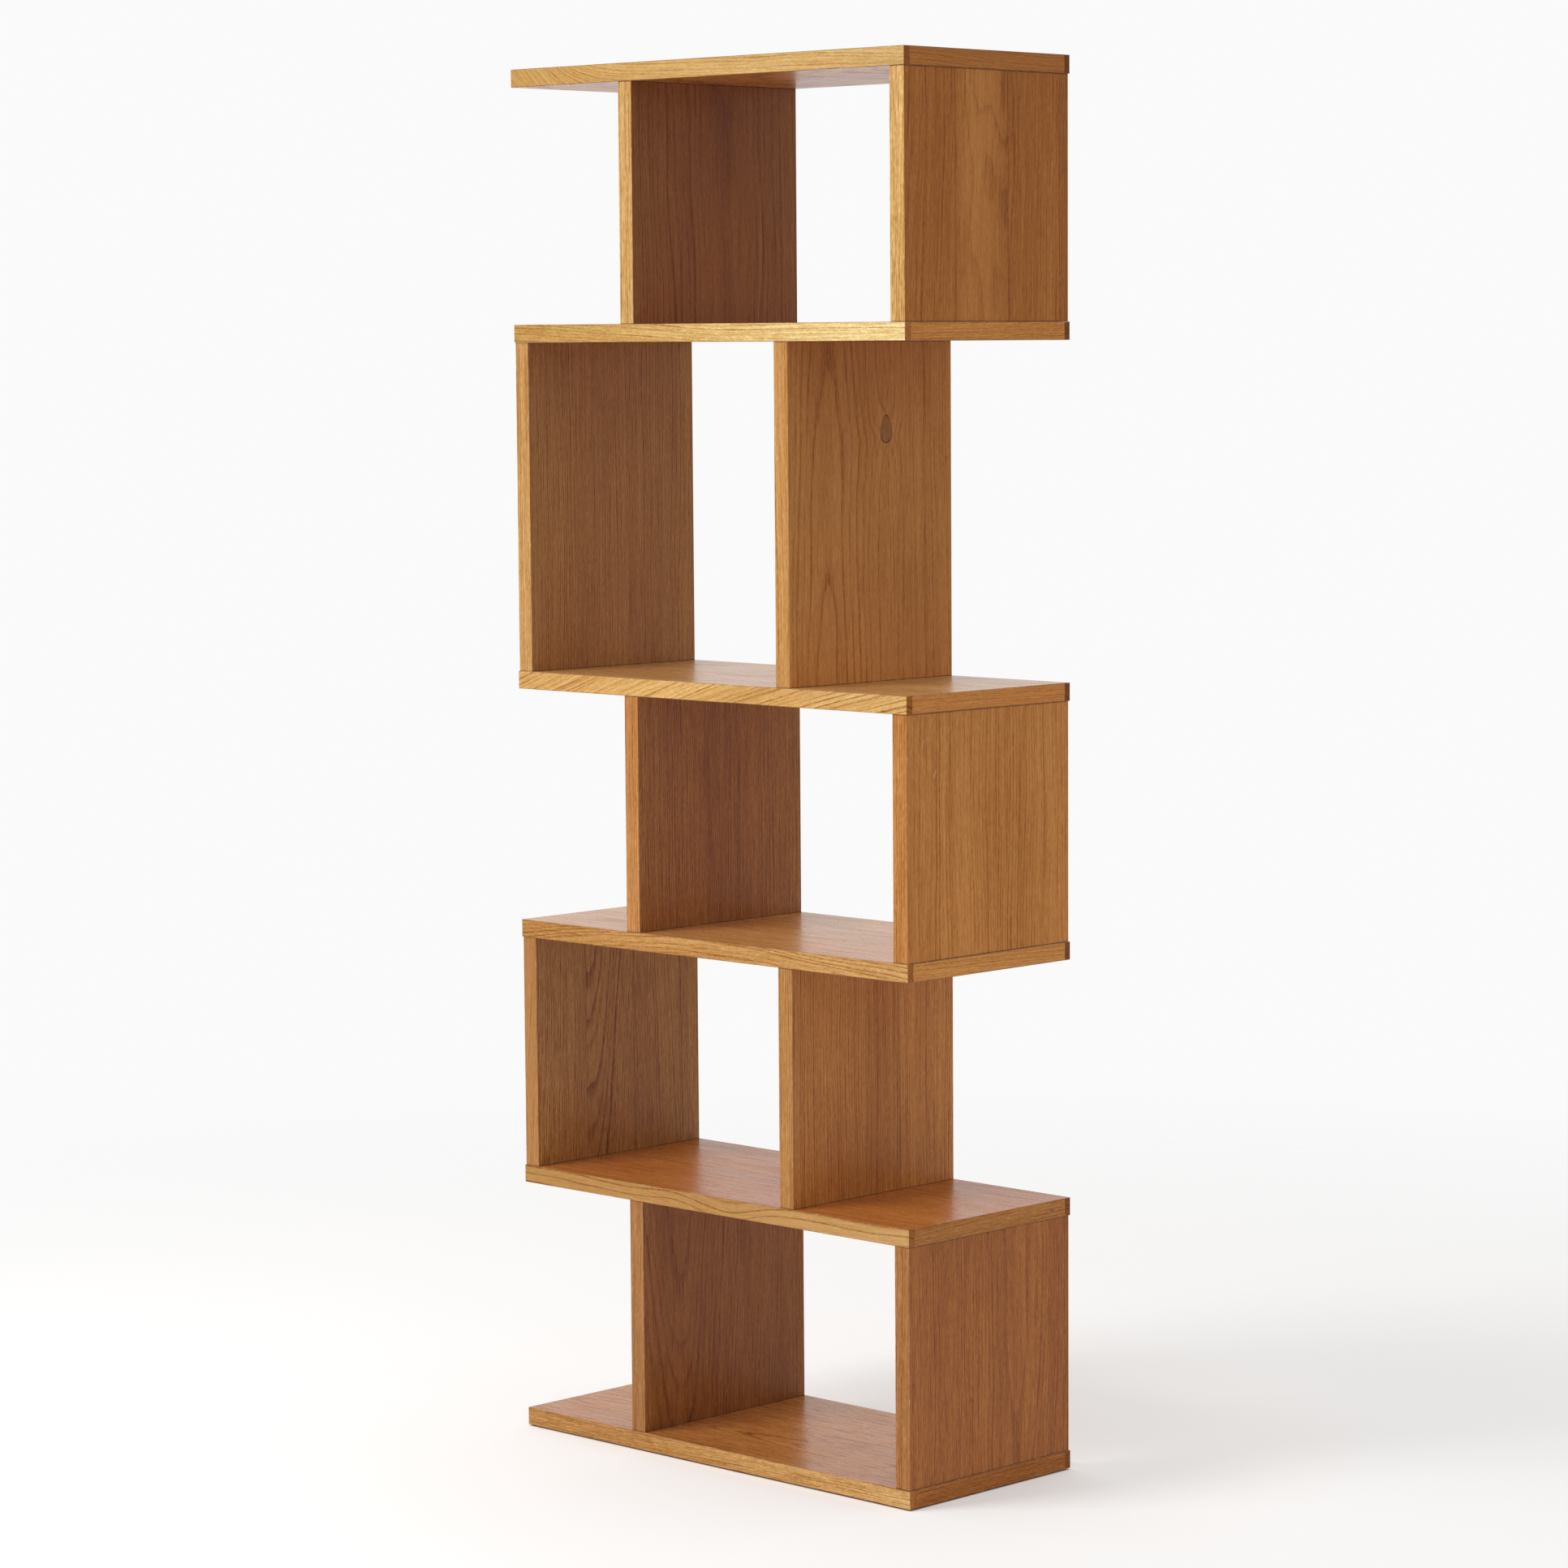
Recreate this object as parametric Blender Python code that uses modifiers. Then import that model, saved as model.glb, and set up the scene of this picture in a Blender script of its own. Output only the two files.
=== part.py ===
"""An open oak bookcase: six long shelves, held apart by five pairs of uprights that step left and right.

Metres, +Z up. The origin is on the floor under the middle of the bookcase, +X runs to its right end as
seen from the front, and +Y to its back. Shelves and levels are counted from the floor up.
"""

import bmesh
import bpy
from mathutils import Matrix, Vector

# Shelf boards
WIDTH = 0.755
DEPTH = 0.325
SHELF_THICKNESS = 0.025
VENEER_THICKNESS = 0.0006
LONG_LIPPING = 0.010
END_LIPPING = 0.005

# Uprights, and where they stand on the shelves
UPRIGHT_THICKNESS = 0.026
END_BAY = 0.21625
SIDE_INSET = 0.00125
FRONT_INSET = 0.00125
BACK_INSET = 0.002

# Clear height of each level between two shelves
LEVEL_HEIGHT = 0.330
TALL_LEVEL_HEIGHT = 0.463
LEVEL_HEIGHTS = (LEVEL_HEIGHT, LEVEL_HEIGHT, LEVEL_HEIGHT, TALL_LEVEL_HEIGHT, LEVEL_HEIGHT)

# Dowels that pin each end of an upright to its shelf
DOWELS_PER_END = 3
DOWEL_RADIUS = 0.004
DOWEL_LENGTH = 0.035
DOWEL_IN_SHELF = 0.012
DOWEL_CHAMFER = 0.001
DOWEL_SIDES = 12
DOWEL_FROM_EDGE = 0.045
HOLE_CLEARANCE = 0.0002
HOLE_SPARE_DEPTH = 0.001

# Felt pads under the lowest shelf
PAD_RADIUS = 0.015
PAD_THICKNESS = 0.0019
PAD_FROM_EDGE = 0.030
PAD_SIDES = 24
SHARP_ANGLE = 0.6

# Seams and softened edges
GLUE_LINE = 0.0001
JOINT_GAP = 0.0001
ARRIS = 0.0004
CUT_OVERSHOOT = 0.002

# Colours as the eye sees them in plain light, then roughness
LIPPING_LOOK = ((0.56, 0.31, 0.11), 0.45)
VENEER_LOOK = ((0.42, 0.20, 0.08), 0.35)
UPRIGHT_LOOK = ((0.45, 0.22, 0.08), 0.45)
CORE_LOOK = ((0.50, 0.38, 0.24), 0.80)
PAD_LOOK = ((0.05, 0.04, 0.035), 0.95)


def clear_scene():
    for old in list(bpy.data.objects):
        bpy.data.objects.remove(old, do_unlink=True)


def new_collection(name):
    collection = bpy.data.collections.new(name)
    bpy.context.scene.collection.children.link(collection)
    return collection


def new_material(name, look):
    colour, roughness = look
    material = bpy.data.materials.new(name)
    material.use_nodes = True
    shader = material.node_tree.nodes["Principled BSDF"]
    shader.inputs["Base Color"].default_value = (*colour, 1)
    shader.inputs["Roughness"].default_value = roughness
    shader.inputs["Metallic"].default_value = 0
    material.diffuse_color = (*colour, 1)
    return material


clear_scene()
parts = new_collection("bookcase")
cutters = new_collection("bookcase_helpers")
lipping_stuff = new_material("oak_lipping", LIPPING_LOOK)
veneer_stuff = new_material("oak_veneer", VENEER_LOOK)
upright_stuff = new_material("oak_upright", UPRIGHT_LOOK)
core_stuff = new_material("core_board", CORE_LOOK)
pad_stuff = new_material("felt_pad", PAD_LOOK)


def new_object(name, bm, place, collection):
    mesh = bpy.data.meshes.new(name)
    bm.to_mesh(mesh)
    bm.free()
    obj = bpy.data.objects.new(name, mesh)
    obj.location = place
    collection.objects.link(obj)
    return obj


def board(name, low, high, material, softened=None):
    """A board between two corners. softened says which of its edges lose their sharpness: it is called
    with the middle of each edge, as -1, 0 or 1 along X, Y and Z."""
    low, high = Vector(low), Vector(high)
    bm = bmesh.new()
    bmesh.ops.create_cube(bm, size=2)
    if softened:
        weight = bm.edges.layers.float.new("bevel_weight_edge")
        for edge in bm.edges:
            middle = (edge.verts[0].co + edge.verts[1].co) / 2
            edge[weight] = float(softened(*(round(value) for value in middle)))
    bmesh.ops.scale(bm, vec=(high - low) / 2, verts=bm.verts)
    obj = new_object(name, bm, (low + high) / 2, parts)
    obj.data.materials.append(material)
    if softened:
        soften = obj.modifiers.new("softened arrises", "BEVEL")
        soften.limit_method = "WEIGHT"
        soften.width = ARRIS
        soften.segments = 1
    return obj


def helper(obj):
    """A cutter, or a shape that is joined to another, which isn't a piece of its own."""
    obj.hide_render = True
    obj.display_type = "WIRE"
    return obj


def combine(obj, other, operation):
    boolean = obj.modifiers.new(other.name, "BOOLEAN")
    boolean.operation = operation
    boolean.object = other
    boolean.solver = "EXACT"


def peg(bm, place, low, high, radius):
    """Adds one upright cylinder to bm and returns its corner points."""
    centre = Matrix.Translation((*place, (low + high) / 2))
    made = bmesh.ops.create_cone(
        bm, cap_ends=True, segments=DOWEL_SIDES, radius1=radius, radius2=radius, depth=high - low, matrix=centre
    )
    return made["verts"]


def chamfer_tip(bm, points, tip):
    """Chamfers the rim of a peg at height tip, as a dowel's end is, so that it finds its hole."""
    rim = {edge for point in points for edge in point.link_edges}
    rim = [edge for edge in rim if all(abs(end.co.z - tip) < DOWEL_CHAMFER / 2 for end in edge.verts)]
    bmesh.ops.bevel(bm, geom=rim, offset=DOWEL_CHAMFER, segments=1, affect="EDGES")


# Places worked out from the driving sizes


def shelf_bottom(shelf):
    below = sum(LEVEL_HEIGHTS[: shelf - 1]) + (shelf - 1) * SHELF_THICKNESS
    return PAD_THICKNESS + GLUE_LINE + below


def shelf_top(shelf):
    return shelf_bottom(shelf) + SHELF_THICKNESS


def upright_span(level, side):
    """Where an upright starts and ends along X. The pair stands at the right end of the shelves on odd
    levels and at their left end on even ones, and leaves an open bay at the other end."""
    inner = -WIDTH / 2 + END_BAY
    outer = WIDTH / 2 - SIDE_INSET
    left_upright = (inner, inner + UPRIGHT_THICKNESS)
    right_upright = (outer - UPRIGHT_THICKNESS, outer)
    if level % 2:
        return left_upright if side == "left" else right_upright
    start, end = right_upright if side == "left" else left_upright
    return -end, -start


UPRIGHT_FRONT = -DEPTH / 2 + FRONT_INSET
UPRIGHT_BACK = DEPTH / 2 - BACK_INSET


def dowel_places(level, side):
    """The middle of each dowel in plan, for either end of one upright."""
    start, end = upright_span(level, side)
    first = UPRIGHT_FRONT + DOWEL_FROM_EDGE
    pitch = (UPRIGHT_BACK - UPRIGHT_FRONT - 2 * DOWEL_FROM_EDGE) / (DOWELS_PER_END - 1)
    return [((start + end) / 2, first + pitch * number) for number in range(DOWELS_PER_END)]


# Pieces


def dowel_holes(shelf, face):
    """The cutter for the blind holes in one face of a shelf, or None where no upright meets it."""
    level = shelf if face == "top" else shelf - 1
    if not 1 <= level <= len(LEVEL_HEIGHTS):
        return None
    depth = DOWEL_IN_SHELF + HOLE_SPARE_DEPTH
    if face == "top":
        low, high = shelf_top(shelf) - depth, shelf_top(shelf) + CUT_OVERSHOOT
    else:
        low, high = shelf_bottom(shelf) - CUT_OVERSHOOT, shelf_bottom(shelf) + depth
    bm = bmesh.new()
    for side in ("left", "right"):
        for place in dowel_places(level, side):
            peg(bm, place, low, high, DOWEL_RADIUS + HOLE_CLEARANCE)
    return helper(new_object(f"holes_in_{face}_of_shelf_{shelf}", bm, (0, 0, 0), cutters))


def make_shelf(shelf):
    """A core with a lipping along each of its four edges, and a veneer over both faces of the whole. The
    two long lippings run the full length, so their end grain shows at the ends of the shelf."""
    name = f"shelf_{shelf}"
    bottom, top = shelf_bottom(shelf), shelf_top(shelf)
    core_bottom = bottom + VENEER_THICKNESS + GLUE_LINE
    core_top = top - VENEER_THICKNESS - GLUE_LINE
    end, front = WIDTH / 2, DEPTH / 2
    core_end = end - END_LIPPING - GLUE_LINE
    core_front = front - LONG_LIPPING - GLUE_LINE

    core = board(
        f"{name}_core",
        (-core_end, -core_front, core_bottom),
        (core_end, core_front, core_top),
        core_stuff,
    )
    for word, sign in (("front", -1), ("back", 1)):
        near, far = sorted((sign * (front - LONG_LIPPING), sign * front))
        board(
            f"{name}_{word}_lipping",
            (-end, near, core_bottom),
            (end, far, core_top),
            lipping_stuff,
            lambda x, y, z, sign=sign: z == 0 and y == sign,
        )
    for word, sign in (("left", -1), ("right", 1)):
        near, far = sorted((sign * (end - END_LIPPING), sign * end))
        board(
            f"{name}_{word}_end_lipping",
            (near, -core_front, core_bottom),
            (far, core_front, core_top),
            lipping_stuff,
        )
    for word, low, high, outward in (
        ("top", top - VENEER_THICKNESS, top, 1),
        ("bottom", bottom, bottom + VENEER_THICKNESS, -1),
    ):
        veneer = board(
            f"{name}_{word}_veneer",
            (-end, -front, low),
            (end, front, high),
            veneer_stuff,
            lambda x, y, z, outward=outward: z in (0, outward),
        )
        holes = dowel_holes(shelf, word)
        if holes:
            combine(core, holes, "DIFFERENCE")
            combine(veneer, holes, "DIFFERENCE")


def make_upright(level, side):
    """A board that stands between two shelves, with the dowels that are glued into both of its ends."""
    name = f"upright_{level}_{side}"
    start, end = upright_span(level, side)
    foot = shelf_top(level) + JOINT_GAP
    head = shelf_bottom(level + 1) - JOINT_GAP
    upright = board(
        name,
        (start, UPRIGHT_FRONT, foot),
        (end, UPRIGHT_BACK, head),
        upright_stuff,
        lambda x, y, z: z == 0,
    )
    lowest = shelf_top(level) - DOWEL_IN_SHELF
    highest = shelf_bottom(level + 1) + DOWEL_IN_SHELF
    bm = bmesh.new()
    for place in dowel_places(level, side):
        chamfer_tip(bm, peg(bm, place, lowest, lowest + DOWEL_LENGTH, DOWEL_RADIUS), lowest)
        chamfer_tip(bm, peg(bm, place, highest - DOWEL_LENGTH, highest, DOWEL_RADIUS), highest)
    combine(upright, helper(new_object(f"dowels_of_{name}", bm, (0, 0, 0), cutters)), "UNION")


def make_pad(word, x, y):
    bm = bmesh.new()
    bmesh.ops.create_cone(
        bm, cap_ends=True, segments=PAD_SIDES, radius1=PAD_RADIUS, radius2=PAD_RADIUS, depth=PAD_THICKNESS
    )
    pad = new_object(f"foot_pad_{word}", bm, (x, y, PAD_THICKNESS / 2), parts)
    pad.data.shade_smooth()
    pad.data.set_sharp_from_angle(angle=SHARP_ANGLE)
    pad.data.materials.append(pad_stuff)


def make_pads():
    """One felt pad near each corner of the lowest shelf, set in so far that it doesn't show."""
    x, y = WIDTH / 2 - PAD_FROM_EDGE, DEPTH / 2 - PAD_FROM_EDGE
    for depth_word, y_sign in (("front", -1), ("back", 1)):
        for side_word, x_sign in (("left", -1), ("right", 1)):
            make_pad(f"{depth_word}_{side_word}", x_sign * x, y_sign * y)


for shelf_number in range(1, len(LEVEL_HEIGHTS) + 2):
    make_shelf(shelf_number)
for level_number in range(1, len(LEVEL_HEIGHTS) + 1):
    make_upright(level_number, "left")
    make_upright(level_number, "right")
make_pads()
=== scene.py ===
import functools
import math

import bpy
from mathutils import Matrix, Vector


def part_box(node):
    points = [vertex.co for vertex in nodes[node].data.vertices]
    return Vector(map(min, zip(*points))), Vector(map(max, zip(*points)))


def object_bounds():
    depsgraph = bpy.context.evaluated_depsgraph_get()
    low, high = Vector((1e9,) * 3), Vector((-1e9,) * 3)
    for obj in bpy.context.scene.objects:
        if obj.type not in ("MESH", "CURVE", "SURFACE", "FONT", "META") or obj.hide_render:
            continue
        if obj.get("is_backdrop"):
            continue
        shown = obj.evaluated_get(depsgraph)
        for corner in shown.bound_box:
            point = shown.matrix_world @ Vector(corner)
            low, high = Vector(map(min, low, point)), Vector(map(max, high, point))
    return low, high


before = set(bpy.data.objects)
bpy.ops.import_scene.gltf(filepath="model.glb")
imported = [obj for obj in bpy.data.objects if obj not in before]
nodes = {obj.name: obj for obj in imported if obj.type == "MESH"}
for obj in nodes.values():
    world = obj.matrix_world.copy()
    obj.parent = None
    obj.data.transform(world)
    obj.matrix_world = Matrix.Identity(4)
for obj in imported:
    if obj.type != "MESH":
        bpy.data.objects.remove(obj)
low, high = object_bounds()

SHELVES = 6
LEVELS = 5
# The end of the shelves at which a level has its outer upright, on even and on odd levels
END_OF_LEVEL = ("left", "right")

# The picture: a long lens from the right of the front, a little above the middle
CAMERA_PLACE = (4.62849, -4.69332, 1.55746)
CAMERA_TURN = (83.64421, 0.28675, 43.50805)
CAMERA_LENS = 109.0441
CAMERA_SENSOR = 36.0
CAMERA_SHIFT = (-0.05945, 0.05368)
CAMERA_REACH = 100.0

# Light: one big soft box at the front left
KEY_PLACE = (-1.3, -2.8, 3.1)
KEY_AIM = (0.0, 0.0, 1.6)
KEY_SIZE = 1.6
KEY_POWER = 74.0
KEY_COLOUR = (1.0, 0.985, 0.965)

# The room that lights the bookcase: grey, lighter above, with a white wall on one side
ROOM_COLOUR = (1.0, 0.99, 0.98, 1.0)
ROOM_LOW = 0.17
ROOM_HIGH = 0.70
ROOM_FADE = (-0.15, 0.75)
WALL_STRENGTH = 1.0
WALL_SIDE = (-0.69, 0.72)
WALL_FADE = (0.4, 0.9)
BACKDROP_COLOUR = (0.985, 0.985, 0.99, 1.0)
BACKDROP_STRENGTH = 0.97

# The floor thins out between two distances. It glows a little as painted light, but not under the bookcase,
# so that a painted shadow lies under it.
FLOOR_RADIUS = 9.0
FLOOR_CORNERS = 96
FLOOR_FADE = (0.9, 3.6)
FLOOR_WHITE = (0.80, 0.80, 0.80, 1.0)
FLOOR_PAINTED_GLOW = 0.27
FOOTPRINT_PAINTED_SHADOW_EDGE = (-0.003, 0.002)
WHITE = (1.0, 1.0, 1.0, 1.0)


def linear(red, green, blue):
    """The linear colour of an 8-bit screen colour."""
    parts = [c / 255 for c in (red, green, blue)]
    return tuple(c / 12.92 if c < 0.04045 else ((c + 0.055) / 1.055) ** 2.4 for c in parts) + (1.0,)


# Every board's colour lies between pale and red wood
PALE_WOOD = linear(231, 192, 122)
RED_WOOD = linear(206, 123, 52)
RING_WOOD = linear(149, 80, 25)
PORE = linear(88, 48, 20)
WORN_WOOD = linear(236, 204, 156)
# dark for the seams between leaves, and for grime with painted shade along the joints
GRIME_AND_SHADE = linear(62, 40, 24)
KNOT_WOOD = linear(104, 58, 30)

# The same for every board before its grain is worked out, as in the viewport
PLAIN_OAK = linear(190, 135, 78)
PLAIN_OAK_ROUGHNESS = 0.4

# The two plain materials
CORE_WOOD = linear(196, 168, 128)
CORE_CHIPS = linear(160, 128, 88)
CORE_CHIP_PITCH = 260.0
CORE_CHIP_EDGE = (0.35, 0.65)
CORE_ROUGHNESS = 0.8
FELT = linear(70, 60, 52)
FELT_DARK = linear(48, 40, 34)
FELT_LIGHT = linear(92, 80, 70)
FELT_HAIR_PITCH = 1400.0
FELT_ROUGHNESS = 0.95
FELT_BUMP = {"Strength": 0.4, "Distance": 0.0003}

# A darker streak is also a redder one: red, green and blue follow the tone by these powers
TONE_POWERS = (1.0, 1.52, 2.4)

# How strongly the lacquer reflects, as Specular IOR Level. Tops are listed by shelf.
LACQUER_IOR = 1.45
GLOSS = 0.15
TOP_GLOSS = {1: 0.3, 2: 0.3, 3: 0.8, 4: 1.0, 5: 0.5, 6: 0.5}
UNDERSIDE_GLOSS = 0.3

# Noises in the wood: cycles a metre along the grain, cycles a metre across it, detail, roughness.
# Those of the pores and fibres are multiplied by the board's Dash along the grain, and the slow waves
# have the board's Pitch there.
SLOW_WAVES = (11.0, 1.0, 0.5)
QUICK_WAVES = (17.0, 60.0, 2.0, 0.5)
CLOUDS = (1.9, 9.0, 2.0, 0.5)
STRIPES = (1.4, 70.0, 3.0, 0.6)
NICKS = (55.0, 150.0, 3.0, 0.65)
PORE_LINES = (0.2, 400.0, 0.0, 0.5)
PORE_BREAKS = (2.2, 620.0, 1.0, 0.6)
FIBRES = (0.9, 430.0, 1.0, 0.6)
FIBRES_AT = 7.0
SHORT_FIBRES = (3.4, 700.0, 0.0, 0.5)
SHORT_FIBRES_AT = 3.0
RING_DRIFT_PITCH = 95.0
SCRATCHES = (34.0, 720.0)
SCRATCH_PATCHES = (13.0, 15.0)

# Steps between the seeds of boards and of leaves, and the length of log that leaves come from
SEED_STEP = 3.71
LEAF_STEP = 7.13
LOG_LENGTH = 2.3
SEAM_EDGE = (0.0003, 0.0012)

# Rings: how far waves bend them, and how they drift in width
WAVE_REACH = 5.0
SHIVER = 0.0013
RING_DRIFT = 2.6
WEAKEST_YEAR = 0.3
EARLY_WOOD = (0.0, 0.5)
NEXT_EARLY_WOOD = (0.9, 1.0)

# Pores: how much they follow the rings' bend, where a noise makes them, and their rows and dashes
PORE_SWAY = 0.6
PORE_BREAKING = 0.6
PORE_EDGE = (0.5, 0.72)
PORES_IN_LATE_WOOD = 0.5
PORES_IN_EARLY_WOOD = 0.5
PORE_ROW = (0.0, 0.42)
PORE_DASH = (0.36, 0.58, 0.4, 1.0)

# A knot: narrower at one end than the other, with a dark rim, and grain that flows round it
KNOT_TAPER = (-0.02, 0.02)
KNOT_HALF_WIDTHS = (0.64, 0.36)
KNOT_LENGTH = 0.55
KNOT_EDGE = (0.75, 1.05)
KNOT_RIM = 0.97
KNOT_RIM_EDGE = (0.0, 0.11)
KNOT_SMALLEST = 0.0001
KNOT_SHOWS = (0.0, 0.0005)
KNOT_PUSH = 2.4
KNOT_PUSH_FADE = -0.55

# How much each feature counts in the tone, in the roughness and in the height of the surface
IN_TONE = dict(fibre=0.6, short=0.45, stripe=0.5, pores=0.42, row=0.7, cloud=0.4, leaf=0.14)
IN_ROUGHNESS = dict(plain=0.27, fibre=0.16, pores=0.16, worn=0.2, cloud=0.12)
IN_HEIGHT = dict(fibre=0.35, pores=0.8, early=0.2, worn=0.7, seam=0.5)
RING_TINT = 0.2
SEAM_TINT = 0.35
KNOT_TINT = 0.40
BAND_EDGE = (0.3, 1.1)
BAND_CALM = 1.6
BUMP = {"Strength": 0.32, "Distance": 0.0004}

# Wear, in metres from an arris, and grime with painted shade, in metres from a joint, both broken up by the
# nicks
RUB_EDGE = (0.0003, 0.0017)
RUB_NICKS = (0.56, 0.68)
RUB_TINT = 0.5
SOFT_RUB_EDGE = (0.0, 0.001)
SOFT_RUB_TINT = 0.07
JOINT_GRIME_AND_SHADE_EDGE = (0.0002, 0.0016)
JOINT_GRIME_AND_SHADE_NICKS = (0.3, 0.6, 0.35, 0.8)

# Scratches run at a slant, in patches
SCRATCH_SLANTS = (0.55, 0.35)
SCRATCH_EDGE = (0.69, 0.76)
SCRATCH_PATCH_EDGE = (0.56, 0.66)
SCRATCH_TINT = 0.75


class Graph:
    """Short ways to add shader nodes to one tree. A value is a socket or a number."""

    def __init__(self, tree):
        self.tree = tree

    def feed(self, socket, value):
        if isinstance(value, bpy.types.NodeSocket):
            self.tree.links.new(value, socket)
        else:
            socket.default_value = value

    def node(self, kind, inputs=None, **settings):
        made = self.tree.nodes.new(kind)
        for name, value in settings.items():
            setattr(made, name, value)
        for socket, value in (inputs or {}).items():
            self.feed(made.inputs[socket], value)
        return made

    def math(self, operation, first, second=0.0):
        return self.node("ShaderNodeMath", {0: first, 1: second}, operation=operation).outputs[0]

    def add(self, *values):
        return functools.reduce(functools.partial(self.math, "ADD"), values)

    def times(self, *values):
        return functools.reduce(functools.partial(self.math, "MULTIPLY"), values)

    def take(self, first, second):
        return self.math("SUBTRACT", first, second)

    def over(self, first, second):
        return self.math("DIVIDE", first, second)

    def apart(self, first, second):
        return self.math("ABSOLUTE", self.take(first, second))

    def square(self, value):
        return self.math("POWER", value, 2.0)

    def length(self, first, second):
        return self.math("SQRT", self.add(self.square(first), self.square(second)))

    def swing(self, noise, reach):
        """A noise from 0 to 1 as a swing to both sides of zero."""
        return self.times(self.take(noise, 0.5), reach)

    def fade(self, value, start, end, at_start=0.0, at_end=1.0):
        """A smooth step from one value to another."""
        made = self.node(
            "ShaderNodeMapRange",
            {"Value": value, "From Min": start, "From Max": end, "To Min": at_start, "To Max": at_end},
            interpolation_type="SMOOTHSTEP",
        )
        return made.outputs[0]

    def near(self, value, edge):
        """1 before an edge and 0 behind it."""
        return self.fade(value, *edge, 1.0, 0.0)

    def vector(self, x, y, z):
        return self.node("ShaderNodeCombineXYZ", {0: x, 1: y, 2: z}).outputs[0]

    def split(self, vector):
        return self.node("ShaderNodeSeparateXYZ", {0: vector}).outputs

    def object_place(self):
        """The point in the frame of the object, in metres."""
        return self.split(self.node("ShaderNodeTexCoord").outputs["Object"])

    def noise(self, x, y, z, detail=2.0, roughness=0.5):
        inputs = {"Vector": self.vector(x, y, z), "Scale": 1.0, "Detail": detail, "Roughness": roughness}
        return self.node("ShaderNodeTexNoise", inputs).outputs[0]

    def even_noise(self, place, scale):
        """Noise of the same scale in every direction."""
        return self.noise(*[self.times(place[i], scale) for i in range(3)], detail=3.0)

    def grain_noise(self, place, kind, shift=None):
        """Noise stretched along the grain: kind is one of the noises named above."""
        along, across, depth = place
        scale_along, scale_across, detail, roughness = kind
        depth = self.times(depth, scale_across)
        if shift is not None:
            depth = self.add(depth, shift)
        return self.noise(
            self.times(along, scale_along), self.times(across, scale_across), depth, detail, roughness
        )

    def random(self, value):
        """Three chances, the same ones each time for the same value."""
        made = self.node("ShaderNodeTexWhiteNoise", {"W": value}, noise_dimensions="1D")
        return self.node("ShaderNodeSeparateColor", {0: made.outputs["Color"]}).outputs

    def mix(self, factor, first, second, blend="MIX"):
        """Two colours mixed; they are sockets 6 and 7 of the node."""
        inputs = {0: factor, 6: first, 7: second}
        return self.node("ShaderNodeMix", inputs, data_type="RGBA", blend_type=blend).outputs[2]

    def either(self, factor, first, second):
        """Two numbers mixed; they are sockets 2 and 3 of the node."""
        return self.node("ShaderNodeMix", {0: factor, 2: first, 3: second}).outputs[0]


# Solid wood is one leaf that is wider than any board
ONE_LEAF = {"Leaf": 10.0, "Leaf start": -5.0}
VENEER_BELOW = 1.0

# What one oak board can be told, with the values that it has otherwise. Lengths are in metres.
OAK = {
    # the point, along the grain, across it and deep
    "Along": 0.0,
    "Across": 0.0,
    "Depth": 0.0,
    "Seed": 0.0,
    # the heart line of the log, and how it leans and swells along the board
    "Heart across": 0.2,
    "Heart depth": 0.05,
    "Lean across": 0.0,
    "Lean depth": 0.0,
    "Swell": 0.0,
    "Swell at": 0.0,
    "Swell width": 0.3,
    # the width of a ring, and its waves
    "Ring": 0.0032,
    "Wave": 0.003,
    "Pitch": 3.2,
    # leaves of veneer, side by side across the board
    **ONE_LEAF,
    "Leaf spread": 0.0,
    # colour: how light and red it is, with painted light and shade in the lightness, how strong the grain,
    # and how the tone rises along the board
    "Light": 1.0,
    "Red": 0.3,
    "Contrast": 1.0,
    # on the front lippings the rise is a painted highlight, lighter toward the right ends
    "Rise": 0.0,
    # a paler band along the board
    "Band": 0.0,
    "Band width": 0.05,
    "Band light": 0.0,
    # whether the point lies on end grain, which is darker
    "End grain": 0.0,
    "End light": 0.6,
    # rows of pores: their strength, and how short they are
    "Line": 1.0,
    "Dash": 42.0,
    # whether the point lies on a face, and how far it is from an arris and from a joint
    "Face": 1.0,
    "Edge": 1.0,
    "Joint": 1.0,
    # scratches on the face, and the place and size of a knot
    "Scuffs": 0.3,
    "Knot along": 0.0,
    "Knot across": 0.0,
    "Knot": 0.0,
}


def leaves_of_veneer(g, given, seed):
    """Each leaf is cut from another part of the log: its place along it, its shift, its seam, its tone."""
    place = g.over(g.take(given["Across"], given["Leaf start"]), given["Leaf"])
    leaf = g.math("FLOOR", place)
    chance = g.random(g.add(g.times(leaf, LEAF_STEP), seed))
    into_leaf = g.times(g.math("FRACT", place), given["Leaf"])
    seam = g.near(g.math("MINIMUM", into_leaf, g.take(given["Leaf"], into_leaf)), SEAM_EDGE)
    along = g.add(given["Along"], g.add(g.times(chance[0], LOG_LENGTH), seed))
    shift = g.times(g.take(leaf, 1.0), given["Leaf spread"])
    veneered = g.math("LESS_THAN", given["Leaf"], VENEER_BELOW)
    tone = g.swing(chance[2], g.times(veneered, IN_TONE["leaf"]))
    return along, shift, seam, tone


def from_heart(g, given, shift):
    """How far the point is from the log's heart line, across and deep."""
    swell = g.square(g.over(g.take(given["Along"], given["Swell at"]), given["Swell width"]))
    swell = g.times(g.math("EXPONENT", g.times(swell, -1.0)), given["Swell"])
    lean_across = g.add(g.times(given["Lean across"], given["Along"]), swell)
    lean_depth = g.times(given["Lean depth"], given["Along"])
    across = g.take(given["Across"], g.add(given["Heart across"], shift, lean_across))
    depth = g.take(given["Depth"], g.add(given["Heart depth"], lean_depth))
    return across, depth


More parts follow.
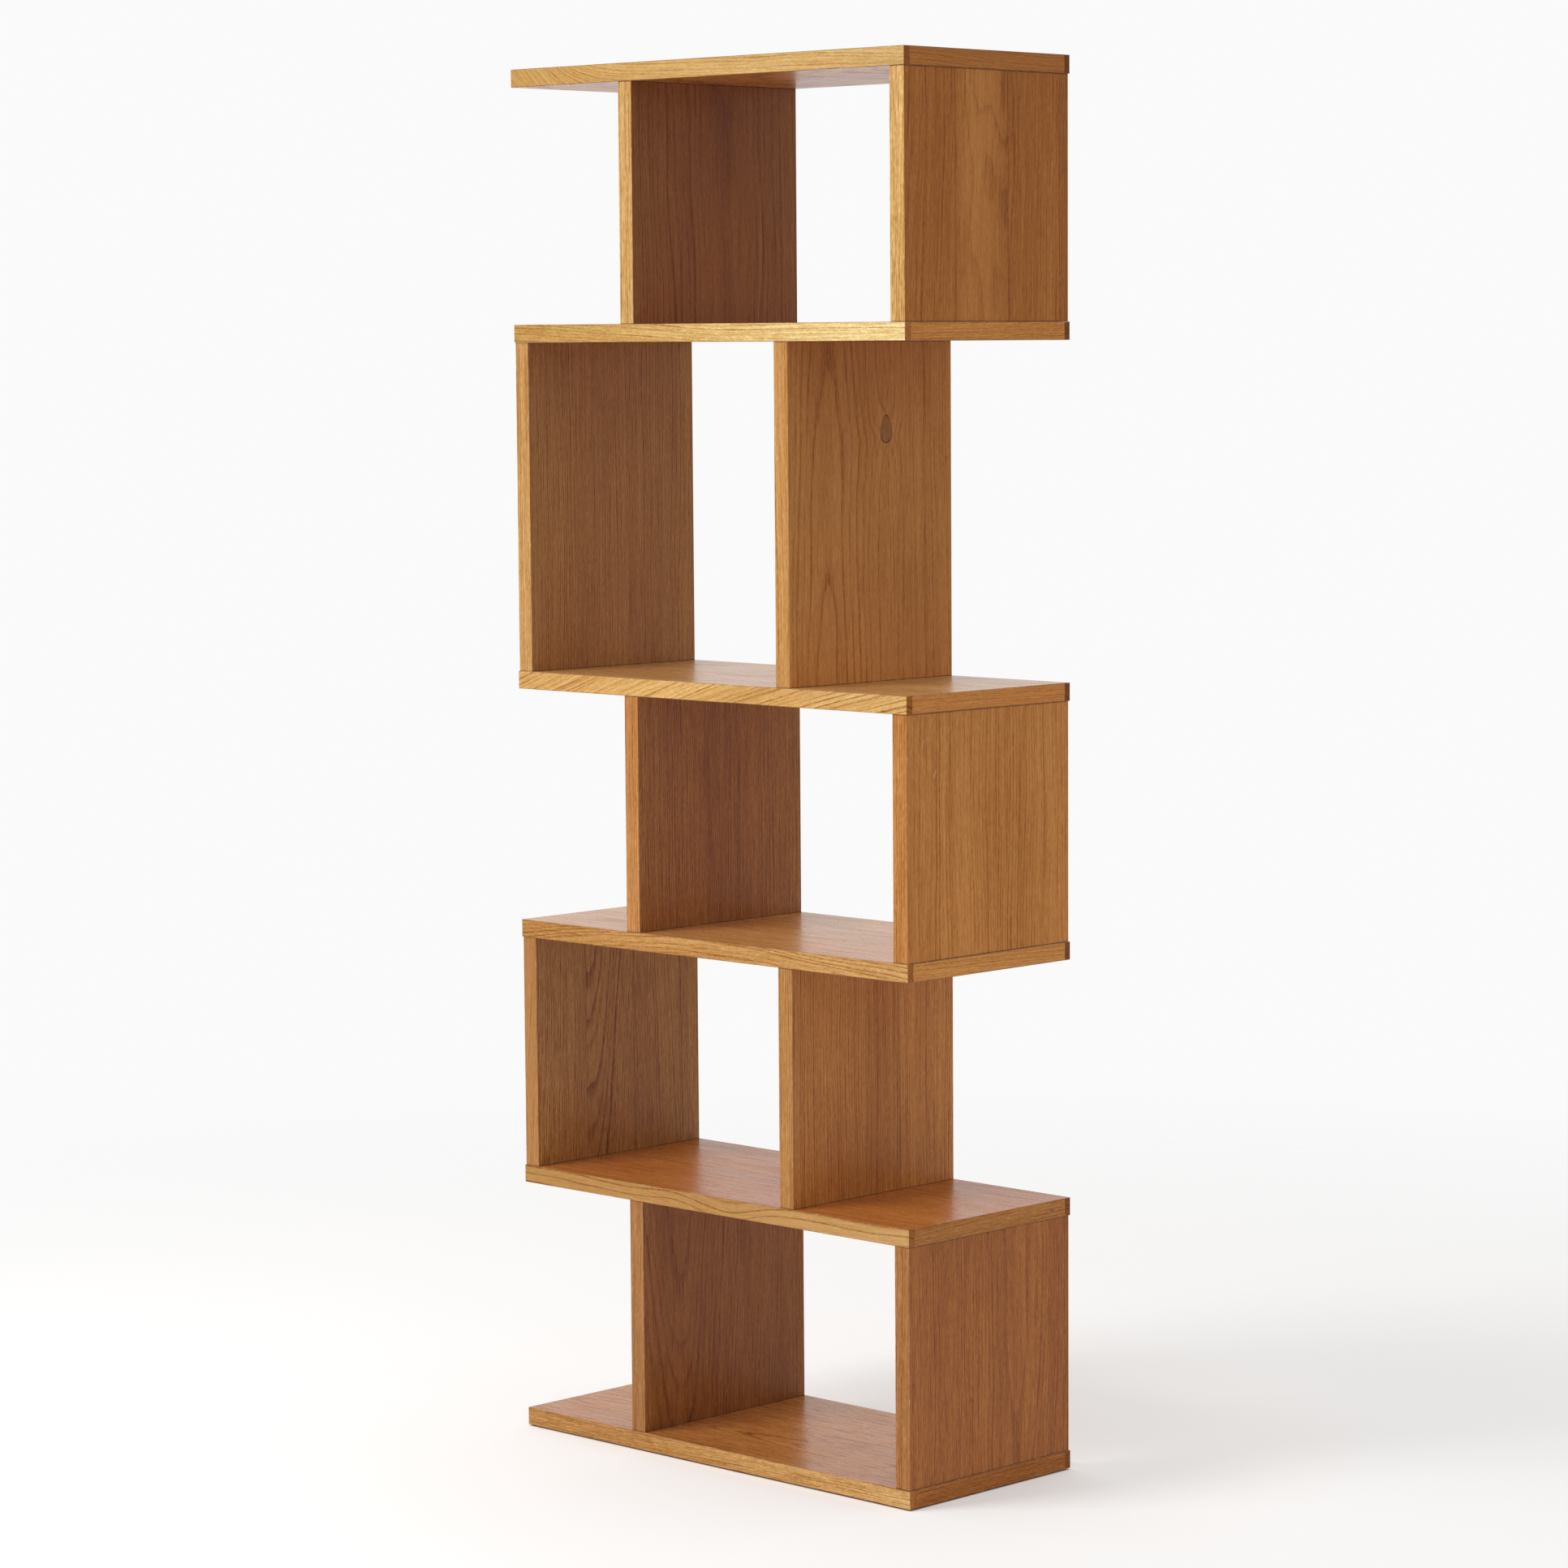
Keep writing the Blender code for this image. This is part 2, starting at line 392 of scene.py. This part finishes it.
def knot_in_board(g, given):
    """The knot's face, its rim, and how far it pushes the grain aside."""
    along = g.take(given["Along"], given["Knot along"])
    across = g.take(given["Across"], given["Knot across"])
    half_width = g.fade(along, *KNOT_TAPER, *KNOT_HALF_WIDTHS)
    far = g.length(g.times(along, KNOT_LENGTH), g.over(g.times(across, 0.5), half_width))
    far = g.over(far, g.math("MAXIMUM", given["Knot"], KNOT_SMALLEST))
    present = g.fade(given["Knot"], *KNOT_SHOWS)
    face = g.times(g.near(far, KNOT_EDGE), present)
    rim = g.times(g.near(g.apart(far, KNOT_RIM), KNOT_RIM_EDGE), present)
    push = g.times(g.math("EXPONENT", g.times(far, KNOT_PUSH_FADE)), g.times(given["Knot"], KNOT_PUSH))
    return face, rim, g.times(push, g.math("SIGN", across))


def growth_rings(g, given, place, seed, push):
    """The rings' bend, the point's place in its ring, and how strong that year is."""
    slow = g.grain_noise(place, (given["Pitch"], *SLOW_WAVES), seed)
    bend = g.swing(slow, g.times(given["Wave"], WAVE_REACH))
    shiver = g.swing(g.grain_noise(place, QUICK_WAVES, seed), SHIVER)
    radius = g.add(g.length(place[1], place[2]), bend, g.add(shiver, push))
    drift = g.noise(g.times(radius, RING_DRIFT_PITCH), seed, 0.0)
    age = g.add(g.over(radius, given["Ring"]), g.times(drift, RING_DRIFT))
    year = g.random(g.add(g.math("FLOOR", age), seed))
    strength = g.fade(year[0], 0.0, 1.0, WEAKEST_YEAR, 1.0)
    return bend, g.math("FRACT", age), strength


def oak_colour(g, given, bend, grain, leaf_tone):
    """The clean wood's colour."""
    red = g.either(given["End grain"], given["Red"], 1.0)
    tint = g.mix(red, PALE_WOOD, RED_WOOD)
    tint = g.mix(g.times(grain["early"], RING_TINT, given["Contrast"]), tint, RING_WOOD)

    streaks = g.add(*[g.swing(grain[kind], IN_TONE[kind]) for kind in ("fibre", "short", "stripe")])
    streaks = g.take(streaks, g.times(grain["pores"], IN_TONE["pores"]))
    streaks = g.take(streaks, g.times(grain["row"], g.times(given["Line"], IN_TONE["row"])))
    band = g.over(g.apart(g.add(given["Across"], bend), given["Band"]), given["Band width"])
    band = g.times(g.near(band, BAND_EDGE), given["Band light"])
    calm = g.take(1.0, g.times(g.math("ABSOLUTE", band), BAND_CALM))
    tone = g.add(
        g.times(streaks, given["Contrast"], calm),
        g.swing(grain["cloud"], IN_TONE["cloud"]),
        leaf_tone,
        g.times(given["Rise"], given["Along"]),
        band,
    )
    level = g.times(given["Light"], g.either(given["End grain"], 1.0, given["End light"]))
    channels = [g.times(level, g.math("EXPONENT", g.times(tone, power))) for power in TONE_POWERS]
    shade = g.node("ShaderNodeCombineColor", dict(enumerate(channels))).outputs[0]
    return g.mix(1.0, tint, shade, "MULTIPLY")


def wear(g, given, wood, along, seed):
    """Pale wear along the arrises, grime and painted shade along the joints, and a few light scratches."""
    nick = g.grain_noise((along, given["Across"], given["Depth"]), NICKS)
    worn = g.times(g.near(given["Edge"], RUB_EDGE), g.fade(nick, *RUB_NICKS))
    soft_rub = g.times(g.near(given["Edge"], SOFT_RUB_EDGE), SOFT_RUB_TINT)
    wood = g.mix(g.math("MAXIMUM", g.times(worn, RUB_TINT), soft_rub), wood, WORN_WOOD)
    # grime and painted shade: the wood darkens near each joint, where a shadow line falls
    dirt_and_shade = g.times(g.near(given["Joint"], JOINT_GRIME_AND_SHADE_EDGE), g.fade(nick, *JOINT_GRIME_AND_SHADE_NICKS))
    wood = g.mix(dirt_and_shade, wood, GRIME_AND_SHADE)
    slant = g.add(given["Along"], g.times(given["Across"], SCRATCH_SLANTS[0]))
    cross = g.take(given["Across"], g.times(given["Along"], SCRATCH_SLANTS[1]))
    scratch = g.noise(g.times(slant, SCRATCHES[0]), g.times(cross, SCRATCHES[1]), seed, 1.0)
    patch = [g.times(given[name], scale) for name, scale in zip(("Along", "Across"), SCRATCH_PATCHES)]
    patch = g.noise(*patch, seed, 1.0)
    scratch = g.times(g.fade(scratch, *SCRATCH_EDGE), g.fade(patch, *SCRATCH_PATCH_EDGE), given["Face"])
    wood = g.mix(g.times(scratch, SCRATCH_TINT, given["Scuffs"]), wood, WORN_WOOD)
    return wood, worn


def oak_group():
    """Lacquered oak in three dimensions: rings round a leaning heart line, pores, fibres, wear."""
    tree = bpy.data.node_groups.new("oak", "ShaderNodeTree")
    for name, value in OAK.items():
        socket = tree.interface.new_socket(name, in_out="INPUT", socket_type="NodeSocketFloat")
        socket.default_value = value
    for name, kind in (("Color", "Color"), ("Roughness", "Float"), ("Normal", "Vector")):
        tree.interface.new_socket(name, in_out="OUTPUT", socket_type="NodeSocket" + kind)
    g = Graph(tree)
    given = tree.nodes.new("NodeGroupInput").outputs
    seed = g.times(given["Seed"], SEED_STEP)

    along, shift, seam, leaf_tone = leaves_of_veneer(g, given, seed)
    across, depth = from_heart(g, given, shift)
    knot, knot_rim, push = knot_in_board(g, given)
    bend, ring, strength = growth_rings(g, given, (along, across, depth), seed, push)

    # the early wood, long rows of pores in it, broken into dashes, and the fibres between them
    early = g.times(g.add(g.near(ring, EARLY_WOOD), g.fade(ring, *NEXT_EARLY_WOOD)), strength)
    sway = g.add(across, g.times(bend, PORE_SWAY))
    dashed = (g.times(along, given["Dash"]), sway, depth)
    broken = g.grain_noise(dashed, PORE_BREAKS)
    pores = g.fade(g.add(g.grain_noise(dashed, PORE_LINES), g.swing(broken, PORE_BREAKING)), *PORE_EDGE)
    pores = g.times(pores, g.add(PORES_IN_LATE_WOOD, g.times(early, PORES_IN_EARLY_WOOD)))
    grain = {
        "early": early,
        "pores": pores,
        "row": g.times(g.near(ring, PORE_ROW), strength, g.fade(broken, *PORE_DASH)),
        "fibre": g.grain_noise(dashed, FIBRES, FIBRES_AT),
        "short": g.grain_noise(dashed, SHORT_FIBRES, SHORT_FIBRES_AT),
        "cloud": g.grain_noise((along, across, depth), CLOUDS),
        "stripe": g.grain_noise((along, sway, depth), STRIPES),
    }
    wood = oak_colour(g, given, bend, grain, leaf_tone)
    wood = g.mix(g.times(seam, SEAM_TINT), wood, GRIME_AND_SHADE)
    wood = g.mix(g.times(knot, KNOT_TINT), wood, KNOT_WOOD)
    wood = g.mix(knot_rim, wood, PORE)
    wood, worn = wear(g, given, wood, along, seed)

    rough = g.add(
        IN_ROUGHNESS["plain"],
        g.swing(grain["fibre"], IN_ROUGHNESS["fibre"]),
        g.times(pores, IN_ROUGHNESS["pores"]),
        g.times(worn, IN_ROUGHNESS["worn"]),
        g.swing(grain["cloud"], IN_ROUGHNESS["cloud"]),
    )
    height = g.times(grain["fibre"], IN_HEIGHT["fibre"])
    for name, part in (("pores", pores), ("early", early), ("worn", worn), ("seam", seam)):
        height = g.take(height, g.times(part, IN_HEIGHT[name]))
    bump = g.node("ShaderNodeBump", {**BUMP, "Height": height})
    g.node("NodeGroupOutput", {"Color": wood, "Roughness": rough, "Normal": bump.outputs[0]})
    return tree


OAK_TREE = oak_group()
AXES = {"x": 0, "y": 1, "z": 2}


def plain_material(name, colour, roughness):
    """A material with a shader ready for its colour pattern."""
    material = bpy.data.materials.new(name)
    material.use_nodes = True
    material.diffuse_color = colour
    material.node_tree.nodes.clear()
    g = Graph(material.node_tree)
    shader = g.node("ShaderNodeBsdfPrincipled", {"Base Color": colour, "Roughness": roughness})
    g.node("ShaderNodeOutputMaterial", {"Surface": shader.outputs[0]})
    return material, g, shader


def from_edge(g, coordinate, start, end):
    """How deep a coordinate lies inside a span."""
    return g.take((end - start) / 2, g.apart(coordinate, (start + end) / 2))


def middle_of(g, first, second, third):
    """The middle one of three values."""
    smaller = g.math("MINIMUM", first, second)
    larger = g.math("MAXIMUM", first, second)
    return g.math("MAXIMUM", smaller, g.math("MINIMUM", larger, third))


def oak_name(key):
    """The name in OAK of a keyword."""
    return key.replace("_", " ")


def oak_material(name, grain, around, joints=(), strip=None, gloss=GLOSS, **board):
    """Oak for one board.

    grain names its axes along, across and deep, around is the box of its arrises, joints are the planes
    in which it meets other pieces, and strip is what differs on the narrow front and back of an upright.
    """
    material, g, shader = plain_material(name, PLAIN_OAK, PLAIN_OAK_ROUGHNESS)
    place = g.object_place()
    facing = g.split(g.node("ShaderNodeNewGeometry").outputs["True Normal"])
    oak = g.node("ShaderNodeGroup", node_tree=OAK_TREE)
    given = {key: place[AXES[axis]] for key, axis in zip(("Along", "Across", "Depth"), grain)}
    given["End grain"] = g.math("ABSOLUTE", facing[AXES[grain[0]]])
    given["Face"] = g.math("ABSOLUTE", facing[AXES[grain[2]]])
    deep = [from_edge(g, place[i], around[0][i], around[1][i]) for i in range(3)]
    if grain[0] == "z":
        # an upright ends in joints, so only its long arrises wear
        given["Edge"] = g.math("MAXIMUM", deep[0], deep[1])
    else:
        given["Edge"] = middle_of(g, *deep)
    if joints:
        gaps = [g.apart(place[AXES[axis]], value) for axis, value in joints]
        given["Joint"] = functools.reduce(functools.partial(g.math, "MINIMUM"), gaps)
    if strip:
        inside = g.math("LESS_THAN", deep[1], FRONT_DEPTH)
        narrow = g.times(inside, g.math("GREATER_THAN", g.math("ABSOLUTE", facing[1]), 0.5))
        for key, value in strip.items():
            board[key] = g.either(narrow, board.get(key, OAK[oak_name(key)]), value)
    given.update({oak_name(key): value for key, value in board.items()})
    for key, value in given.items():
        g.feed(oak.inputs[key], value)
    shader.inputs["IOR"].default_value = LACQUER_IOR
    shader.inputs["Specular IOR Level"].default_value = gloss
    for target, source in (("Base Color", "Color"), ("Roughness", "Roughness"), ("Normal", "Normal")):
        g.feed(shader.inputs[target], oak.outputs[source])
    return material


def dress(name, material):
    """Gives a CAD node its material."""
    mesh = nodes[name].data
    if not mesh.materials:
        mesh.materials.append(material)
    for i in range(len(mesh.materials)):
        mesh.materials[i] = material


def dress_oak(name, grain, around, *more, **look):
    """Gives a CAD node an oak of its own."""
    dress(name, oak_material(name, grain, around, *more, **look))


def box_of(*names):
    """The box round some CAD nodes."""
    boxes = [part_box(n) for n in names]
    start = [min(b[0][i] for b in boxes) for i in range(3)]
    end = [max(b[1][i] for b in boxes) for i in range(3)]
    return start, end


def tones(light, red, contrast):
    """The three values that most boards differ in."""
    return dict(Light=light, Red=red, Contrast=contrast)


# Long lippings, by shelf. Across is up, deep is to the back. Their lightness is partly painted light,
# lighter on the upper shelves.
LONG_LIPPINGS = {
    1: dict(tones(0.843, 0.39, 0.89), Heart_across=0.40, Lean_across=0.01, Ring=0.0032, Rise=0.49, Line=0.7),
    2: dict(
        tones(0.796, 0.38, 0.42), Heart_across=0.85, Ring=0.0120, Wave=0.004, Pitch=6.0,
        Swell=-0.014, Swell_at=0.033, Swell_width=0.075, Rise=0.27, Line=2.2,
    ),
    3: dict(
        tones(0.902, 0.47, 0.86), Heart_across=0.95, Ring=0.0042, Wave=0.005,
        Swell=0.022, Swell_at=0.06, Swell_width=0.28, Rise=0.42, Line=1.2,
    ),
    4: dict(
        tones(1.05, 0.26, 0.64), Heart_across=1.50, Lean_across=0.30, Ring=0.0066,
        Swell=0.05, Swell_at=0.0, Swell_width=0.6, Rise=0.13, Line=1.5,
    ),
    5: dict(
        tones(1.01, 0.0, 0.75), Heart_across=1.90, Lean_across=-0.02, Ring=0.0040,
        Swell=-0.012, Swell_at=0.05, Swell_width=0.3, Rise=0.81, Line=0.8,
    ),
    6: dict(
        tones(0.912, 0.14, 0.54), Heart_across=2.40, Lean_across=-0.03, Ring=0.0044,
        Swell=0.12, Swell_at=-0.42, Swell_width=0.12, Rise=0.29, Line=0.9,
    ),
}
AT_FRONT = dict(Dash=60.0, End_light=0.72)
# the back lippings lose the rise, the painted highlight of the fronts
AT_BACK = dict(Dash=60.0, End_light=0.45, Light=0.95, Rise=0.0)

# End lippings, by shelf, each cut at its own distance from the heart. One has a small knot. Their lightness
# is partly painted light, lighter on the upper shelves.
END_LIPPINGS = {
    1: tones(0.696, 0.89, 0.89),
    2: tones(0.792, 0.74, 0.74),
    3: tones(1.19, 0.69, 0.57),
    4: tones(1.19, 0.80, 0.50),
    5: tones(1.41, 0.74, 0.69),
    6: tones(1.01, 0.87, 0.47),
}
ALL_END_LIPPINGS = dict(Ring=0.0034, Wave=0.003, Dash=55.0)
END_HEART = 0.9
END_HEART_STEP = 0.3
END_LEAN_STEP = 0.03
END_KNOT_AT = (2, "right")
END_KNOT = dict(Knot_along=0.1241, Knot_across=0.3694, Knot=0.0022)

# Upper faces, by shelf. Across is to the back, deep is up.
SHELF_TOPS = {
    1: dict(
        tones(0.843, 0.75, 0.8), Heart_across=-0.02, Heart_depth=-0.010, Lean_depth=0.055, Ring=0.0042,
        Line=1.2,
    ),
    2: dict(tones(0.784, 0.93, 0.8), Heart_across=0.55, Ring=0.0040),
    3: dict(tones(0.923, 0.56, 0.8), Heart_across=-0.50, Ring=0.0042),
    4: dict(tones(0.824, 0.41, 0.8), Heart_across=0.50, Ring=0.0038),
    5: dict(tones(0.95, 0.72, 0.8), Heart_across=-0.48, Ring=0.0040),
    6: dict(tones(0.95, 0.72, 0.8), Heart_across=0.03, Heart_depth=1.88, Lean_depth=0.05, Ring=0.0042),
}
ON_TOP = dict(Leaf=0.163, Leaf_start=-0.163, Leaf_spread=0.05, Dash=50.0)
UNDERNEATH = dict(Leaf=0.155, Leaf_start=-0.16, Leaf_spread=0.05, Dash=50.0)

# Uprights. Across is to the back, deep is to the right. The left ones are painted darker, as painted shade
# on their faces inside the bays.
UPRIGHTS = {
    "1_left": dict(
        tones(0.537, 0.84, 0.8), Heart_across=-0.10, Heart_depth=-0.32, Lean_depth=0.03, Ring=0.0036,
        Line=0.7, gloss=0.3,
    ),
    "1_right": dict(
        tones(0.661, 0.99, 0.89), Heart_across=0.05, Heart_depth=0.28, Lean_depth=0.02, Ring=0.0036,
        Line=0.75, gloss=0.28,
    ),
    "2_left": dict(
        tones(0.654, 0.57, 0.83), Heart_across=-0.0648, Heart_depth=-0.457, Lean_depth=0.06, Ring=0.0038,
        Line=1.2, Leaf=0.0935, Leaf_start=-0.1583, Leaf_spread=0.25, gloss=0.3,
    ),
    "2_right": dict(
        tones(0.965, 0.76, 0.77), Heart_across=-0.26, Ring=0.0040,
        Line=1.2, Leaf=0.21, Leaf_start=-0.1587, Leaf_spread=0.1, gloss=0.24,
    ),
    "3_left": dict(tones(0.639, 0.76, 0.97), Heart_across=0.35, Ring=0.0038, Line=1.0, gloss=0.3),
    "3_right": dict(tones(1.06, 0.8, 0.61), Heart_across=-0.34, Ring=0.0042, Line=0.75, Scuffs=1.6),
    "4_left": dict(tones(0.7, 0.58, 0.8), Heart_across=0.43, Ring=0.0032, Line=1.0, gloss=0.3),
    "4_right": dict(
        tones(1.06, 0.75, 0.57), Heart_across=-0.084, Heart_depth=0.10, Lean_depth=-0.02, Ring=0.0062,
        Line=0.9, Knot_along=1.436, Knot_across=0.0299, Knot=0.0105, gloss=0.18,
    ),
    "5_left": dict(
        tones(0.567, 0.75, 0.7), Heart_across=0.02, Heart_depth=-0.30, Lean_depth=0.01, Ring=0.0048,
        Line=0.85, gloss=0.24,
    ),
    "5_right": dict(
        tones(0.97, 0.91, 0.71), Heart_across=-0.012, Heart_depth=0.10, Lean_depth=0.008, Lean_across=0.02,
        Ring=0.0046, Wave=0.005, Line=0.35, Leaf=0.1034, Leaf_start=-0.1671, Leaf_spread=0.3,
        Band=-0.012, Band_width=0.052, Band_light=0.18, Scuffs=0.8,
    ),
}
# The narrow front and back of each upright have a grain and tones of their own; their lightness rises level
# by level as painted light
UPRIGHT_FRONTS = {
    "1_left": tones(0.638, 0.70, 0.75),
    "1_right": tones(0.687, 0.80, 1.00),
    "2_left": tones(0.742, 0.65, 0.43),
    "2_right": tones(0.797, 0.64, 0.69),
    "3_left": tones(0.926, 0.72, 0.70),
    "3_right": tones(0.904, 0.76, 0.88),
    "4_left": tones(0.928, 0.40, 0.86),
    "4_right": tones(0.953, 0.53, 0.68),
    "5_left": tones(0.955, 0.20, 0.85),
    "5_right": tones(1.1, 0.21, 0.99),
}
ALL_UPRIGHT_FRONTS = dict(
    Heart_across=-0.155, Heart_depth=-1.2, Leaf=ONE_LEAF["Leaf"], Leaf_start=ONE_LEAF["Leaf start"]
)
# They are told from the sides by how near the front or the back they lie
FRONT_DEPTH = 0.006

# The pieces of a shelf that reach its front, back, top and underside
OUTER_PIECES = ("front_lipping", "back_lipping", "top_veneer", "bottom_veneer")

# Each piece has a seed of its own
SHELF_SEEDS = 5.0
UPRIGHT_SEEDS = 40.0
SEEDS_OF_A_LEVEL = 3


def dress_shelf(number):
    """Materials for the seven pieces of one shelf. The back and the underside have another shelf's grain."""
    stem = f"shelf_{number}_"
    seed = number * SHELF_SEEDS
    other = SHELVES + 1 - number
    around = box_of(*[stem + piece for piece in OUTER_PIECES])
    dress_oak(stem + "front_lipping", "xzy", around, **{**LONG_LIPPINGS[number], **AT_FRONT, "Seed": seed})
    dress_oak(stem + "back_lipping", "xzy", around, **{**LONG_LIPPINGS[other], **AT_BACK, "Seed": seed + 1})

    seams = [("y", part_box(stem + "front_lipping")[1][1]), ("y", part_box(stem + "back_lipping")[0][1])]
    for i, side in enumerate(("left", "right")):
        look = dict(END_LIPPINGS[number], **ALL_END_LIPPINGS, Seed=seed + 2 + i)
        look["Heart_across"] = END_HEART + number * END_HEART_STEP
        look["Lean_across"] = END_LEAN_STEP * (number % 3 - 1)
        if (number, side) == END_KNOT_AT:
            look.update(END_KNOT)
        joints = list(seams)
        if number <= LEVELS and side == END_OF_LEVEL[number % 2]:
            joints.append(("z", around[1][2]))
        if number > 1 and side == END_OF_LEVEL[(number - 1) % 2]:
            joints.append(("z", around[0][2]))
        dress_oak(stem + side + "_end_lipping", "yzx", around, joints, **look)

    look = dict(SHELF_TOPS[number], **ON_TOP, Seed=seed + 4, gloss=TOP_GLOSS[number])
    dress_oak(stem + "top_veneer", "xyz", around, **look)
    look = dict(SHELF_TOPS[other], **UNDERNEATH, Seed=seed + 4.5, gloss=UNDERSIDE_GLOSS)
    dress_oak(stem + "bottom_veneer", "xyz", around, **look)
    dress(stem + "core", core)


def dress_upright(level, side):
    """The material of one upright."""
    board = f"{level}_{side}"
    seed = UPRIGHT_SEEDS + level * SEEDS_OF_A_LEVEL + (side == "left")
    strip = dict(UPRIGHT_FRONTS[board], **ALL_UPRIGHT_FRONTS, Seed=seed + 0.5)
    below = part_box(f"shelf_{level}_top_veneer")[1][2]
    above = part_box(f"shelf_{level + 1}_bottom_veneer")[0][2]
    name = "upright_" + board
    dress_oak(name, "zyx", box_of(name), (("z", below), ("z", above)), strip, Seed=seed, **UPRIGHTS[board])


def core_material():
    """Raw core board, hidden inside the shelves."""
    material, g, shader = plain_material("core_board", CORE_WOOD, CORE_ROUGHNESS)
    chips = g.even_noise(g.object_place(), CORE_CHIP_PITCH)
    g.feed(shader.inputs["Base Color"], g.mix(g.fade(chips, *CORE_CHIP_EDGE), CORE_CHIPS, CORE_WOOD))
    return material


def felt_material():
    """Pressed felt under the lowest shelf."""
    material, g, shader = plain_material("felt", FELT, FELT_ROUGHNESS)
    hair = g.even_noise(g.object_place(), FELT_HAIR_PITCH)
    g.feed(shader.inputs["Base Color"], g.mix(hair, FELT_DARK, FELT_LIGHT))
    bump = g.node("ShaderNodeBump", {**FELT_BUMP, "Height": hair})
    g.feed(shader.inputs["Normal"], bump.outputs[0])
    return material


def make_floor():
    """A pale round floor that thins out into the white room, with a painted glow that stops under the
    bookcase as a painted shadow.
    """
    bpy.ops.mesh.primitive_circle_add(
        vertices=FLOOR_CORNERS, radius=FLOOR_RADIUS, fill_type="NGON", location=(0.0, 0.0, 0.0)
    )
    floor = bpy.context.object
    floor.name = "floor"
    material = bpy.data.materials.new("floor")
    material.use_nodes = True
    material.node_tree.nodes.clear()
    g = Graph(material.node_tree)
    place = g.object_place()
    matt = g.node("ShaderNodeBsdfDiffuse", {"Color": FLOOR_WHITE})
    under = [from_edge(g, place[i], low[i], high[i]) for i in range(2)]
    # painted shadow: the glow fades to nothing inside the bookcase's footprint, which leaves the floor
    # darker under it
    strength = g.fade(g.math("MINIMUM", *under), *FOOTPRINT_PAINTED_SHADOW_EDGE, FLOOR_PAINTED_GLOW, 0.0)
    painted_glow = g.node("ShaderNodeEmission", {"Color": WHITE, "Strength": strength})
    both = g.node("ShaderNodeAddShader", {0: matt.outputs[0], 1: painted_glow.outputs[0]})
    clear = g.node("ShaderNodeBsdfTransparent")
    gone = g.fade(g.length(place[0], place[1]), *FLOOR_FADE)
    mixed = g.node("ShaderNodeMixShader", {0: gone, 1: both.outputs[0], 2: clear.outputs[0]})
    g.node("ShaderNodeOutputMaterial", {"Surface": mixed.outputs[0]})
    floor.data.materials.append(material)
    floor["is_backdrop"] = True


def make_room():
    """The room that lights the bookcase, and plain white behind it for the camera and for reflections."""
    world = bpy.data.worlds.new("room")
    bpy.context.scene.world = world
    world.use_nodes = True
    world.node_tree.nodes.clear()
    g = Graph(world.node_tree)
    path = g.node("ShaderNodeLightPath").outputs
    way = g.split(g.node("ShaderNodeTexCoord").outputs["Generated"])
    toward = g.add(g.times(way[0], WALL_SIDE[0]), g.times(way[1], WALL_SIDE[1]))
    around = g.fade(way[2], *ROOM_FADE, ROOM_LOW, ROOM_HIGH)
    strength = g.either(g.fade(toward, *WALL_FADE), around, WALL_STRENGTH)
    lit = g.node("ShaderNodeBackground", {"Color": ROOM_COLOUR, "Strength": strength})
    seen = g.node("ShaderNodeBackground", {"Color": BACKDROP_COLOUR, "Strength": BACKDROP_STRENGTH})
    through = g.math("MAXIMUM", path["Is Glossy Ray"], path["Is Transmission Ray"])
    straight = g.math("MAXIMUM", path["Is Camera Ray"], through)
    both = g.node("ShaderNodeMixShader", {0: straight, 1: lit.outputs[0], 2: seen.outputs[0]})
    g.node("ShaderNodeOutputWorld", {"Surface": both.outputs[0]})


def make_lamp(name, place, aim, size, power, colour):
    """One square soft box."""
    lamp = bpy.data.lights.new(name, "AREA")
    lamp.energy = power
    lamp.size = size
    lamp.color = colour
    holder = bpy.data.objects.new(name, lamp)
    holder.location = place
    holder.rotation_euler = (Vector(aim) - Vector(place)).to_track_quat("-Z", "Y").to_euler()
    bpy.context.scene.collection.objects.link(holder)


def make_camera():
    """The photo's view."""
    lens = bpy.data.cameras.new("camera")
    lens.sensor_width = CAMERA_SENSOR
    lens.lens = CAMERA_LENS
    lens.shift_x, lens.shift_y = CAMERA_SHIFT
    lens.clip_end = CAMERA_REACH
    camera = bpy.data.objects.new("camera", lens)
    camera.location = CAMERA_PLACE
    camera.rotation_euler = [math.radians(a) for a in CAMERA_TURN]
    bpy.context.scene.collection.objects.link(camera)
    bpy.context.scene.camera = camera


core = core_material()
for number in range(1, SHELVES + 1):
    dress_shelf(number)
for level in range(1, LEVELS + 1):
    for side in ("left", "right"):
        dress_upright(level, side)
felt = felt_material()
for end in ("front_left", "front_right", "back_left", "back_right"):
    dress("foot_pad_" + end, felt)

make_floor()
make_room()
make_lamp("key", KEY_PLACE, KEY_AIM, KEY_SIZE, KEY_POWER, KEY_COLOUR)
make_camera()
bpy.context.scene.view_settings.view_transform = "Standard"

low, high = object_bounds()
